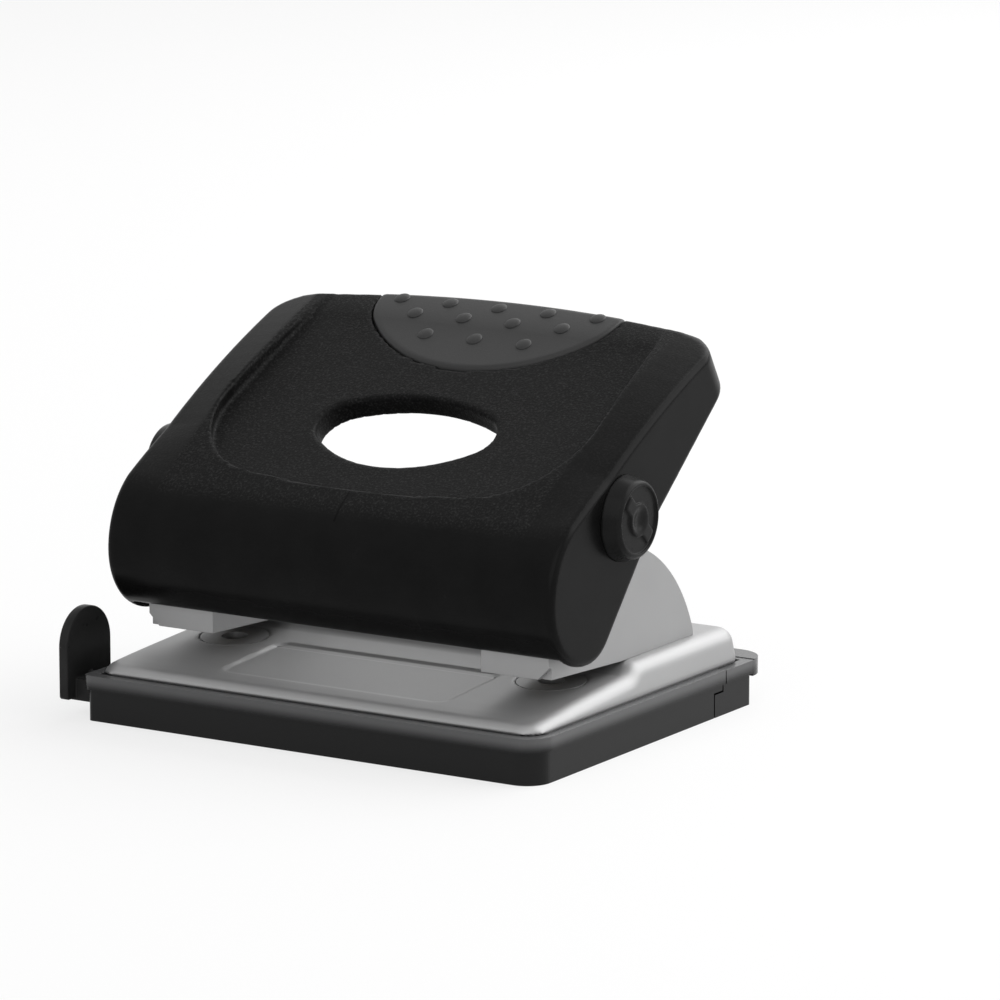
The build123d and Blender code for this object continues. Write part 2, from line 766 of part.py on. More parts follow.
def handle_cover():
    block = cover_block() & lip_prism(0)
    inside = cover_inside() & lip_prism(wall + pad_sink)
    inside -= recess_prism(wall) & above_floor(wall + pad_sink)
    for x, y, z in cover_screw_places():
        for side in (-1, 1):
            inside -= upright(side * x, y, z + arm_sheet, far, boss_radius)
    cover = block - inside - front_opening() - (recess_prism(0) & above_floor(0))
    cover -= pad_region(pad_gap) - cover_outside(pad_sink)
    cover = cover + oval_collar() - oval_prism(0)
    for x, y, z in cover_screw_places():
        for side in (-1, 1):
            cover -= upright(side * x, y, z + arm_sheet - cut, z + arm_sheet + boss_engage, screw_radius)
    return cover - across(-cover_half - cut, cover_half + cut, pivot_y, pivot_z, axle_radius)


def grip_pad():
    pad = pad_region(0) & cover_outside(-pad_proud)
    sphere = (bump_radius ** 2 + bump_height ** 2) / (2 * bump_height)
    for row, count in zip(bump_rows, bump_counts):
        y = pivot_y + row
        z = floor_height(y) + pad_proud + bump_height - sphere
        for k in range(count):
            pad += Pos((k - (count - 1) / 2) * bump_pitch, y, z) * Sphere(sphere)
    return pad - cover_outside(pad_sink)


# Paper guide: a stop plate outside the tray on an arm that slides in it
def paper_guide():
    stop_x = -tray_width / 2 - guide_reach - guide_thickness
    middle = (guide_front + guide_back) / 2
    crown_z = guide_top - guide_depth / 2
    stop = box(stop_x, stop_x + guide_thickness, guide_front, guide_back, guide_bottom, crown_z)
    stop = fillet(stop.edges().filter_by(Axis.X).group_by(Axis.Z)[0], guide_foot_corner)
    stop += across(stop_x, stop_x + guide_thickness, middle, crown_z, guide_depth / 2)
    arm_top = arm_low + arm_height
    arm = box(stop_x, arm_end, guide_arm_front, guide_arm_back, arm_low, arm_top)
    rib_y = (guide_arm_front + guide_arm_back) / 2
    arm += box(stop_x, arm_end, rib_y - rib_width / 2, rib_y + rib_width / 2, arm_top, arm_top + rib_height)
    return stop + arm


save(chip_tray(), "chip_tray", (0.15, 0.15, 0.16))
save(chip_door(), "chip_door", (0.17, 0.17, 0.18))
save(Compound(children=door_hinge_pins()), "door_hinge_pins", (0.6, 0.6, 0.6))
save(base_plate(), "base_plate", (0.62, 0.62, 0.63))
save(Compound(children=base_screws()), "base_screws", (0.6, 0.6, 0.6))
save_pair(die(), "die", (0.7, 0.7, 0.7))
save_pair(carrier(), "frame", (0.66, 0.66, 0.67))
save(Compound(children=frame_rivets()), "frame_rivets", (0.6, 0.6, 0.6))
save(tie_rod(), "tie_rod", (0.6, 0.6, 0.6))
save_pair(lower_bush(), "lower_bush", (0.7, 0.6, 0.35))
save_pair(upper_bush(), "upper_bush", (0.7, 0.6, 0.35))
save_pair(punch_pin(), "punch_pin", (0.75, 0.75, 0.76))
save_pair(pin_spring(), "pin_spring", (0.55, 0.55, 0.56))
save_pair(carriage(), "carriage", (0.4, 0.4, 0.42))
save(pivot_axle(), "pivot_axle", (0.6, 0.6, 0.6))
save(Compound(children=[axle_clip(), mirrored(axle_clip())]), "axle_clips", (0.5, 0.5, 0.5))
save_pair(axle_cap(), "axle_cap", (0.12, 0.12, 0.12))
save(lever_bracket(), "lever_bracket", (0.5, 0.5, 0.52))
save(Compound(children=cover_screws()), "cover_screws", (0.6, 0.6, 0.6))
save_pair(drive_stud(), "drive_stud", (0.6, 0.6, 0.6))
save(handle_cover(), "handle_cover", (0.08, 0.08, 0.08))
save(grip_pad(), "grip_pad", (0.2, 0.2, 0.2))
save(paper_guide(), "paper_guide", (0.07, 0.07, 0.07))
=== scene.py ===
import bpy
import bmesh
import numpy as np
from math import radians, sin, cos, pi, hypot
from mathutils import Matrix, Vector


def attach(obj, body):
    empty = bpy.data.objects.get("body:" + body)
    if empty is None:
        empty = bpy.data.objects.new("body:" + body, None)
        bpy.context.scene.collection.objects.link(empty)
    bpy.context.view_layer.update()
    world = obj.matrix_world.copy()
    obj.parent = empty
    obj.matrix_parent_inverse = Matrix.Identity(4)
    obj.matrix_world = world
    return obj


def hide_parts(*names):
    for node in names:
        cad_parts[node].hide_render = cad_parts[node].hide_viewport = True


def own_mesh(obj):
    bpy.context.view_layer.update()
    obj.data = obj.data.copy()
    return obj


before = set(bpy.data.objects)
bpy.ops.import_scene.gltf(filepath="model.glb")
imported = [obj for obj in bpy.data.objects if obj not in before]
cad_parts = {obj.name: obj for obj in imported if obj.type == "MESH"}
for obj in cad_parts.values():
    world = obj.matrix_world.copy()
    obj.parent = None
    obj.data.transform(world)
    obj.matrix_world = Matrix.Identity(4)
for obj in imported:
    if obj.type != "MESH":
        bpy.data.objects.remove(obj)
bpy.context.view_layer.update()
millimetre = 0.001

# Camera

cameraSettings = {"lens": 224.0, "place": (0.70134, -1.08768, 0.31008), "tilt": 90 - 11.524, "turn": 32.07}
cameraData = bpy.data.cameras.new("photoCamera")
cameraData.lens = cameraSettings["lens"]
cameraData.clip_end = 20.0
camera = bpy.data.objects.new("photoCamera", cameraData)
camera.location = cameraSettings["place"]
camera.rotation_euler = (radians(cameraSettings["tilt"]), 0, radians(cameraSettings["turn"]))
bpy.context.scene.collection.objects.link(camera)
bpy.context.scene.camera = camera


# Shader graphs: a Wire wraps a socket so that maths can be written as expressions

class Wire:
    def __init__(self, finish, socket):
        self.finish, self.socket = finish, socket

    def maths(self, operation, *others):
        return self.finish.node("ShaderNodeMath", {"operation": operation}, (self,) + others)

    def __add__(self, other):
        return self.maths("ADD", other)

    def __sub__(self, other):
        return self.maths("SUBTRACT", other)

    def __rsub__(self, other):
        return self.finish.node("ShaderNodeMath", {"operation": "SUBTRACT"}, (other, self))

    def __mul__(self, other):
        return self.maths("MULTIPLY", other)

    __radd__ = __add__
    __rmul__ = __mul__


class Finish:
    def __init__(self, name, **values):
        self.material = bpy.data.materials.new(name)
        self.material.use_nodes = True
        self.tree = self.material.node_tree
        self.shader = next(n for n in self.tree.nodes if n.type == "BSDF_PRINCIPLED")
        for key, value in values.items():
            self.shader.inputs[key].default_value = value

    def node(self, kind, settings, inputs, output=0):
        made = self.tree.nodes.new(kind)
        for key, value in settings.items():
            setattr(made, key, value)
        for key, value in inputs.items() if isinstance(inputs, dict) else enumerate(inputs):
            for given in value if isinstance(value, list) else [value]:
                if isinstance(given, Wire):
                    self.tree.links.new(given.socket, made.inputs[key])
                else:
                    made.inputs[key].default_value = given
        return Wire(self, made.outputs[output])

    def place(self):
        return self.node("ShaderNodeTexCoord", {}, {}, "Object")

    def part(self, axis):
        return self.node("ShaderNodeSeparateXYZ", {}, (self.place(),), axis)

    def noise(self, size, detail=2.0, rough=0.5, stretch=(1, 1, 1)):
        moved = self.node("ShaderNodeMapping", {}, {"Vector": self.place(), "Scale": stretch})
        return self.node("ShaderNodeTexNoise", {}, {"Vector": moved, "Scale": 1 / (size * millimetre),
                                                   "Detail": detail, "Roughness": rough})

    def blend(self, amount, first, second):
        return self.node("ShaderNodeMix", {"data_type": "RGBA"}, {0: amount, 6: first, 7: second}, 2)

    def feed(self, name, value):
        self.tree.links.new(value.socket, self.shader.inputs[name])

    def relief(self, height, depth, strength=1.0):
        return self.node("ShaderNodeBump", {}, {"Height": height, "Distance": depth * millimetre,
                                               "Strength": strength})


def grey(level, tint=(1, 1, 1)):
    return (level * tint[0], level * tint[1], level * tint[2], 1)


# Moulded black plastic: smooth below the fold in front, fine grain above it, with pale painted highlights on the
# peaks of the grain
blackSettings = {
    "dark": 0.0042, "light": 0.0064, "glintColour": 0.03, "specular": 0.06, "seamShade": 0.0004,
    "grainSize": 0.5, "grainDepth": 0.12, "paintedGlints": (0.5, 0.75), "patchSize": 9.0, "wear": (0.3, 0.7),
    "smoothGloss": 0.26, "grainGloss": 0.5, "glossPatch": 0.08, "smoothMask": 0.1,
    "foldAxis": (0.72, 0.69), "foldStart": 9.0, "foldEnd": 12.5,
    "topHalf": 54.9, "topEnd": 33.0, "railStart": 45.8, "railMask": 0.35,
    "seam": {"half": 0.22, "front": -33.4, "rear": -26.8, "low": 46.0},
}


def mouldedBlack(name, folded, lift=1.0):
    s = blackSettings
    finish = Finish(name, **{"Specular IOR Level": s["specular"]})
    grain = finish.noise(s["grainSize"], 3.0, 0.6)
    patches = finish.noise(s["patchSize"], 3.0, 0.55)
    mask = grain * 0 + s["smoothMask"]
    if folded:
        height = finish.part("Y") * s["foldAxis"][0] + finish.part("Z") * s["foldAxis"][1]
        mask = finish.node("ShaderNodeMapRange", {"interpolation_type": "SMOOTHSTEP"},
                           {"Value": height, 1: s["foldStart"] * millimetre, 2: s["foldEnd"] * millimetre})
        mask = mask * finish.part("X").maths("ABSOLUTE").maths("LESS_THAN", s["topHalf"] * millimetre)
        lip = finish.part("Y").maths("LESS_THAN", s["topEnd"] * millimetre)
        inner = lip * finish.part("X").maths("ABSOLUTE").maths("LESS_THAN", s["railStart"] * millimetre)
        mask = mask * (inner * (1 - s["railMask"]) + s["railMask"])
    wear = finish.node("ShaderNodeMapRange", {}, {"Value": patches, 1: s["wear"][0], 2: s["wear"][1]})
    # lift above 1 paints the plastic lighter: a lit copy of the same black plastic, standing in for the light
    # falling on that part
    shade = finish.blend(wear, grey(s["dark"] * lift), grey(s["light"] * lift))
    # painted highlights: the peaks of the grain get a pale colour, standing in for light glinting off the grain
    paintedGlints = finish.node("ShaderNodeMapRange", {}, {"Value": grain, 1: s["paintedGlints"][0], 2: s["paintedGlints"][1]})
    paintedGlints = paintedGlints * mask
    shade = finish.blend(paintedGlints, shade, grey(s["glintColour"]))
    if folded:
        # painted shade: a thin dark line on the fold stands in for the shade in the fine mould seam groove
        seam = s["seam"]
        aside = finish.part("X").maths("ABSOLUTE").maths("LESS_THAN", seam["half"] * millimetre)
        along = finish.part("Y").maths("GREATER_THAN", seam["front"] * millimetre)
        along = along * finish.part("Y").maths("LESS_THAN", seam["rear"] * millimetre)
        seamShadeMask = aside * along * finish.part("Z").maths("GREATER_THAN", seam["low"] * millimetre)
        shade = finish.blend(seamShadeMask, shade, grey(s["seamShade"]))
    finish.feed("Base Color", shade)
    gloss = mask * (s["grainGloss"] - s["smoothGloss"]) + s["smoothGloss"] + (patches - 0.5) * s["glossPatch"]
    finish.feed("Roughness", gloss)
    finish.feed("Normal", finish.relief(grain * mask, s["grainDepth"]))
    return finish.material


rubberSettings = {"dark": 0.019, "light": 0.026, "fineSize": 0.35, "broadSize": 14.0, "gloss": 0.5, "glossFine": 0.2,
                  "depth": 0.02}


def gripRubber():
    s = rubberSettings
    finish = Finish("gripRubber", **{"Specular IOR Level": 0.3})
    fine = finish.noise(s["fineSize"], 2.0, 0.6)
    broad = finish.noise(s["broadSize"], 2.0)
    finish.feed("Base Color", finish.blend(broad, grey(s["dark"]), grey(s["light"])))
    finish.feed("Roughness", s["gloss"] + (fine - 0.5) * s["glossFine"])
    finish.feed("Normal", finish.relief(fine, s["depth"]))
    return finish.material


steelSettings = {"metallic": 0.7, "lineSize": 0.5, "broadSize": 18.0, "dark": 0.92, "light": 1.06, "glossLine": 0.16,
                 "glossBroad": 0.08, "depth": 0.004}


def brushedSteel(name, level, rough, streak):
    s = steelSettings
    finish = Finish(name, Metallic=s["metallic"])
    lines = finish.noise(s["lineSize"], 3.0, 0.6, streak)
    broad = finish.noise(s["broadSize"], 2.0)
    finish.feed("Base Color", finish.blend(broad, grey(level * s["dark"], (1, 1, 1.01)), grey(level * s["light"])))
    finish.feed("Roughness", rough + (lines - 0.5) * s["glossLine"] + (broad - 0.5) * s["glossBroad"])
    finish.feed("Normal", finish.relief(lines, s["depth"]))
    return finish.material


smokySettings = {"low": 0.005, "high": 0.13, "rimLightStart": 6.8, "rimLightEnd": 9.4, "broadSize": 22.0, "fineSize": 0.6,
                 "gloss": 0.22, "glossBroad": 0.12, "depth": 0.006}


def smokyPlastic():
    s = smokySettings
    finish = Finish("smokyPlastic", **{"Specular IOR Level": 0.16, "Transmission Weight": 0.15, "IOR": 1.49})
    rise = finish.node("ShaderNodeMapRange", {"interpolation_type": "SMOOTHSTEP"}, {
        "Value": finish.part("Z"), 1: s["rimLightStart"] * millimetre, 2: s["rimLightEnd"] * millimetre})
    broad = finish.noise(s["broadSize"], 2.0)
    fine = finish.noise(s["fineSize"], 2.0)
    shade = finish.blend(rise, grey(s["low"], (1, 1, 1.03)), grey(s["high"], (1, 1, 1.02)))  # painted light: paler towards the top rim, where light shows through the thin smoky plastic
    finish.feed("Base Color", shade)
    finish.feed("Roughness", s["gloss"] + (broad - 0.5) * s["glossBroad"])
    finish.feed("Normal", finish.relief(fine, s["depth"]))
    return finish.material


turnedSettings = {"ringSize": 0.4, "squeeze": (1, 1, 6), "dark": 0.85, "glossRing": 0.15, "depth": 0.003}


def turnedMetal(name, colour, rough):
    s = turnedSettings
    finish = Finish(name, Metallic=1.0)
    rings = finish.noise(s["ringSize"], 2.0, 0.5, s["squeeze"])
    finish.feed("Base Color", finish.blend(rings, colour, tuple(s["dark"] * c for c in colour[:3]) + (1,)))
    finish.feed("Roughness", rough + (rings - 0.5) * s["glossRing"])
    finish.feed("Normal", finish.relief(rings, s["depth"]))
    return finish.material


finishes = {
    "black_plastic": mouldedBlack("blackPlastic", False),
    "handle": mouldedBlack("handlePlastic", True),
    # the guide and the caps get lit copies of the black plastic, their colour painted lighter to stand in for the
    # light on them
    "guide": mouldedBlack("guidePlasticPaintedLighter", False, lift=5.0),
    "cap": mouldedBlack("capPlasticPaintedLighter", False, lift=2.6),
    "grip_rubber": gripRubber(),
    "satin_steel": brushedSteel("satinSteel", level=0.35, rough=0.52, streak=(1, 8, 8)),
    "die": brushedSteel("dieSteel", level=0.3, rough=0.5, streak=(1, 1, 8)),
    "dark_steel": brushedSteel("darkSteel", level=0.22, rough=0.42, streak=(8, 1, 1)),
    "bright_steel": turnedMetal("brightSteel", grey(0.62), rough=0.22),
    "bush_brass": turnedMetal("bushBrass", (0.62, 0.44, 0.18, 1), rough=0.3),
    "smoky_plastic": smokyPlastic(),
}
print("finishes made:", len(finishes))


# Rounded forms: each is a distance field in millimetres, negative inside, skinned by a grid of cells

def meet(a, b, radius):
    inner = np.minimum(np.maximum(a, b) + radius, 0)
    return inner + np.hypot(np.maximum(a + radius, 0), np.maximum(b + radius, 0)) - radius


def join(a, b, radius):
    return -meet(-a, -b, radius)


def carve(a, b, radius):
    return meet(a, -b, radius)


def arcPoints(start, middle, end, count=20):
    (x0, y0), (x1, y1), (x2, y2) = start, middle, end
    d = 2 * (x0 * (y1 - y2) + x1 * (y2 - y0) + x2 * (y0 - y1))
    a, b, c = x0 * x0 + y0 * y0, x1 * x1 + y1 * y1, x2 * x2 + y2 * y2
    cx = (a * (y1 - y2) + b * (y2 - y0) + c * (y0 - y1)) / d
    cy = (a * (x2 - x1) + b * (x0 - x2) + c * (x1 - x0)) / d
    first = np.arctan2(y0 - cy, x0 - cx)
    sweep = (np.arctan2(y2 - cy, x2 - cx) - first) % (2 * pi)
    half = (np.arctan2(y1 - cy, x1 - cx) - first) % (2 * pi)
    if half > sweep:
        sweep -= 2 * pi
    radius = hypot(x0 - cx, y0 - cy)
    angles = first + sweep * np.linspace(0, 1, count + 1)
    return [(cx + radius * cos(t), cy + radius * sin(t)) for t in angles]


def outline(points):
    corners = [points[0]]
    for point in points[1:]:
        if hypot(point[0] - corners[-1][0], point[1] - corners[-1][1]) > 1e-6:
            corners.append(point)
    corners = np.array(corners, float)

    def distance(u, v):
        u, v = np.broadcast_arrays(np.asarray(u, float), np.asarray(v, float))
        best = np.full(u.shape, 1e9)
        inside = np.zeros(u.shape, bool)
        for (u0, v0), (u1, v1) in zip(corners, np.roll(corners, -1, axis=0)):
            du, dv = u1 - u0, v1 - v0
            share = np.clip(((u - u0) * du + (v - v0) * dv) / (du * du + dv * dv), 0, 1)
            best = np.minimum(best, (u - u0 - share * du) ** 2 + (v - v0 - share * dv) ** 2)
            crosses = (v0 > v) != (v1 > v)
            if dv:
                inside ^= crosses & (u < u0 + (v - v0) * du / dv)
        return np.where(inside, -1, 1) * np.sqrt(best)
    return distance


def softened(points, rounds):  # every round cuts each corner at a quarter of its sides
    for _ in range(rounds):
        cornered = [points[0]]
        for (x0, y0), (x1, y1) in zip(points, points[1:]):
            cornered += [(share * x0 + (1 - share) * x1, share * y0 + (1 - share) * y1) for share in (0.75, 0.25)]
        points = cornered + [points[-1]]
    return points


def roundedPlan(u, v, halfU, halfV, radius):
    a, b = np.abs(u) - halfU + radius, np.abs(v) - halfV + radius
    return np.hypot(np.maximum(a, 0), np.maximum(b, 0)) + np.minimum(np.maximum(a, b), 0) - radius


skinSettings = {"margin": 1.5, "rounds": 3, "reach": 0.08, "steepness": 0.25, "longest": 0.5}


def skinField(name, field, low, high, step, material):
    s = skinSettings
    low = np.array(low, float) - s["margin"] * step
    counts = np.ceil((np.array(high, float) + s["margin"] * step - low) / step).astype(int) + 1
    axes = [low[k] + step * np.arange(counts[k]) for k in range(3)]
    values = np.array(np.broadcast_to(field(axes[0][:, None, None], axes[1][None, :, None], axes[2][None, None, :]),
                                      counts))
    inside = values < 0
    total = sum(inside[a:a - 1 or None, b:b - 1 or None, c:c - 1 or None].astype(np.int8)
                for a in (0, 1) for b in (0, 1) for c in (0, 1))
    active = (total > 0) & (total < 8)
    cells = np.argwhere(active)
    index = np.full(active.shape, -1)
    index[active] = np.arange(len(cells))
    summed, crossings = np.zeros((len(cells), 3)), np.zeros(len(cells))
    for axis in range(3):
        unit = np.eye(3, dtype=int)[axis]
        for corner in range(4):
            offset = np.insert([corner & 1, corner >> 1], axis, 0)
            start = cells + offset
            a = values[tuple(start.T)]
            b = values[tuple((start + unit).T)]
            hit = (a < 0) != (b < 0)
            share = np.where(hit, a / np.where(hit, a - b, 1), 0)
            summed[hit] += (start + share[:, None] * unit)[hit]
            crossings[hit] += 1
    points = low + step * summed / crossings[:, None]
    faces = []
    for axis in range(3):
        unit = np.eye(3, dtype=int)
        one, two = unit[(axis + 1) % 3], unit[(axis + 2) % 3]
        first = inside[tuple(slice(None, -1) if k == axis else slice(None) for k in range(3))]
        second = inside[tuple(slice(1, None) if k == axis else slice(None) for k in range(3))]
        edges = np.argwhere(first != second)
        leaving = first[tuple(edges.T)]
        ring = np.stack([index[tuple((edges - shift).T)] for shift in (0 * one, one, one + two, two)], axis=1)
        faces.append(np.where(leaving[:, None], ring[:, ::-1], ring)[:, ::-1])
    faces = np.concatenate(faces)
    reach = s["reach"] * step
    for _ in range(s["rounds"]):  # the points move onto the true surface
        x, y, z = points.T
        here = field(x, y, z)
        slopes = np.stack([field(x + reach, y, z) - field(x - reach, y, z),
                           field(x, y + reach, z) - field(x, y - reach, z),
                           field(x, y, z + reach) - field(x, y, z - reach)], axis=1) / (2 * reach)
        length = np.maximum((slopes ** 2).sum(axis=1), s["steepness"])
        move = slopes * (here / length)[:, None]
        size = np.sqrt((move ** 2).sum(axis=1))
        points = points - move * np.minimum(1, s["longest"] * step / np.maximum(size, 1e-9))[:, None]
    mesh = bpy.data.meshes.new(name)
    mesh.vertices.add(len(points))
    mesh.vertices.foreach_set("co", (points * millimetre).ravel())
    mesh.loops.add(faces.size)
    mesh.loops.foreach_set("vertex_index", faces.ravel())
    mesh.polygons.add(len(faces))
    mesh.polygons.foreach_set("loop_start", np.arange(0, faces.size, 4))
    mesh.polygons.foreach_set("use_smooth", np.ones(len(faces), bool))
    mesh.update(calc_edges=True)
    mesh.validate()
    mesh.materials.append(material)
    piece = bpy.data.objects.new(name, mesh)
    bpy.context.scene.collection.objects.link(piece)
    print(name, "has", 2 * len(faces), "triangles")
    return piece


def dress(piece, body, slot, *nodes):
    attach(piece, body)
    if nodes:
        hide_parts(*nodes)


# Repeated forms grow from Geometry Nodes, and the result is kept as a plain mesh
class Growth:
    node = Finish.node
    kinds = {float: "NodeSocketFloat", int: "NodeSocketInt", tuple: "NodeSocketVector",
             bpy.types.Material: "NodeSocketMaterial", bpy.types.Object: "NodeSocketObject"}

    def __init__(self, name, **values):
        self.tree = bpy.data.node_groups.new(name, "GeometryNodeTree")
        self.values = values
        self.tree.interface.new_socket("base", in_out="INPUT", socket_type="NodeSocketGeometry")
        self.tree.interface.new_socket("result", in_out="OUTPUT", socket_type="NodeSocketGeometry")
        for key, value in values.items():
            self.tree.interface.new_socket(key, in_out="INPUT", socket_type=self.kinds[type(value)])
        self.entry = self.tree.nodes.new("NodeGroupInput")

    def given(self, name):
        return Wire(self, self.entry.outputs[name])

    def joined(self, shapes):
        return self.node("GeometryNodeJoinGeometry", {}, {0: shapes})

    def grow(self, name, shape, mesh=None):
        smooth = self.node("GeometryNodeSetShadeSmooth", {}, {"Geometry": shape})
        real = self.node("GeometryNodeRealizeInstances", {}, {"Geometry": smooth})
        painted = self.node("GeometryNodeSetMaterial", {}, {"Geometry": real, "Material": self.given("material")})
        ending = self.tree.nodes.new("NodeGroupOutput")
        self.tree.links.new(painted.socket, ending.inputs["result"])
        piece = bpy.data.objects.new(name, mesh or bpy.data.meshes.new(name))
        bpy.context.scene.collection.objects.link(piece)
        modifier = piece.modifiers.new("growth", "NODES")
        modifier.node_group = self.tree
        for item in self.tree.interface.items_tree:
            if item.in_out == "INPUT" and item.name in self.values:
                modifier[item.identifier] = self.values[item.name]
        bpy.context.view_layer.update()
        final = bpy.data.meshes.new_from_object(piece.evaluated_get(bpy.context.evaluated_depsgraph_get()))
        piece.modifiers.clear()
        piece.data = final
        print(name, "grew to", len(final.polygons), "faces")
        return piece


pivot = {"y": -9.0, "z": 50.0}

# Handle cover: outlines are (y, z) from the pivot
coverSettings = {
    "half": 55.6, "insideHalf": 53.2, "wall": 2.4, "edge": 1.4, "cornerRound": 6.0, "step": 0.68,
    "roll": ((-13.0, -28.8), (-24.0, -24.5), (-28.3, -14.0)),
    "brow": ((-28.3, -14.0), (-26.3, -5.6), (-20.8, 1.0)),
    "crown": ((-20.8, 1.0), (13.5, 21.6), (47.0, 35.1)),
    "heel": ((51.3, 28.2), (14.5, -2.0), (-5.0, -24.5)), "heelMiddle": (-8.5, -27.6),
    "slope": 31.0, "lipMiddle": 55.0, "lipSide": 48.6,
    "frontLip": -26.4, "flangeRoom": -20.8,
    "panelSides": ((41.0, 51.0), (44.6, 21.0), (45.8, 6.0), (42.2, -7.8), (30.0, -15.6)), "panelFront": -17.6,
    "floor": ((-20.0, 0.9), (-6.0, 7.9), (14.0, 18.5), (30.3, 27.3), (36.3, 31.1), (47.2, 35.3), (69.0, 44.0)),
    "panelFoot": 0.8, "panelRim": 0.45,
    "ovalMiddle": 8.05, "ovalHalf": 11.75, "ovalLow": 28.5, "ovalHigh": 40.0, "ovalTip": 9.0, "ovalRim": 0.9,
    "lensMiddle": 8.0, "lensReach": 14.0, "collarWall": 1.2, "collarDepth": 5.9,
    "railStart": 45.8, "railRun": 9.8, "railDrop": 1.9, "railEnd": (38.6, 40.0),
    "railBegin": (-20.0, -6.0), "railMiddle": (3.0, 0.55),
    "bosses": ((26.0, -14.9, -4.4), (47.8, 27.5, 18.1)), "bossRadius": 3.2, "bossEdge": 0.4, "bracketSheet": 1.5,
    "axle": 3.0, "drop": 3.8, "roomEdge": 1.0, "underEdge": 0.6, "shellEdge": 0.6, "mouthEdge": 0.5,
    "flangeHeight": 4.8, "flangeEdge": 0.3, "skinEdge": 1.0, "pocketEdge": 0.3, "pocketFloor": 0.1,
    "far": 120.0, "deep": -60.0, "low": (-55.6, -38.5, 20.5), "high": (55.6, 41.5, 85.0),
}
padSettings = {
    "half": 30.5, "curve": 39.33, "centre": 61.33, "corner": 2.5, "sink": 1.4, "proud": 0.3, "gap": 0.35,
    "bottom": 0.96, "edge": 0.75, "footEdge": 0.8, "topEdge": 1.6, "backEdge": 0.2, "step": 0.5,
    "low": (-30.6, 12.0, 70.0), "high": (30.6, 42.0, 86.5),
    "bumpRadius": 1.8, "bumpHeight": 0.5, "bumpPitch": 12.4, "firstRow": 30.3, "rowPitch": 5.5, "rowShort": 1.0,
    "rows": 3, "firstCount": 3, "above": 200.0,
}

c = coverSettings
upSlope = (cos(radians(c["slope"])), sin(radians(c["slope"])))
crownArcs = [arcPoints(*c[part], count=18) for part in ("roll", "brow", "crown")]
profilePoints = [p for arc in crownArcs for p in arc] + list(c["heel"])
profilePoints += arcPoints(c["heel"][-1], c["heelMiddle"], c["roll"][0], 8)[1:-1]
coverProfile = outline(profilePoints)


def inwards(points, depth):
    moved = []
    for index, (y, z) in enumerate(points):
        (y0, z0), (y1, z1) = points[max(index - 1, 0)], points[min(index + 1, len(points) - 1)]
        length = hypot(y1 - y0, z1 - z0)
        moved.append((y + (z1 - z0) / length * depth, z - (y1 - y0) / length * depth))
    return moved


innerPoints = [p for arc in crownArcs for p in inwards(arc, c["wall"])]
coverInside = outline(innerPoints + [(c["far"], innerPoints[-1][1]), (c["far"], c["deep"]),
                                     (innerPoints[0][0], c["deep"])])
floorLine = softened(list(c["floor"]), 3)
panelFloor = outline(floorLine + [(floorLine[-1][0], c["deep"]), (floorLine[0][0], c["deep"])])
sides = c["panelSides"]
rightSide = arcPoints(*sides[:3], count=14) + arcPoints(*sides[2:], count=14)[1:]
frontArc = arcPoints(sides[-1], (0, c["panelFront"]), (-sides[-1][0], sides[-1][1]), 24)[1:]
leftSide = [(-x, y) for x, y in reversed(rightSide)][1:]
panelPlan = outline([(sides[0][0], c["far"])] + rightSide + frontArc + leftSide + [(-sides[0][0], c["far"])])
lipSag = c["lipMiddle"] - c["lipSide"]
lipCurve = ((c["half"] + 1) ** 2 + lipSag ** 2) / (2 * lipSag)


def rearLip(x, y, z):
    run = y * upSlope[0] + z * upSlope[1]
    return np.hypot(x, run - (c["lipMiddle"] - lipCurve)) - lipCurve


def padShape(x, y, z, grow):
    plan = meet(np.hypot(x, y - padSettings["centre"]) - padSettings["curve"], np.abs(x) - padSettings["half"],
                padSettings["corner"]) - grow
    normal = z * upSlope[0] - y * upSlope[1]
    return meet(plan, padSettings["bottom"] - grow - normal, padSettings["footEdge"])


def coverSkin(x, y, z, sink, edge):
    return meet(rearLip(x, y, z) + sink, panelFloor(y, z + sink), edge)


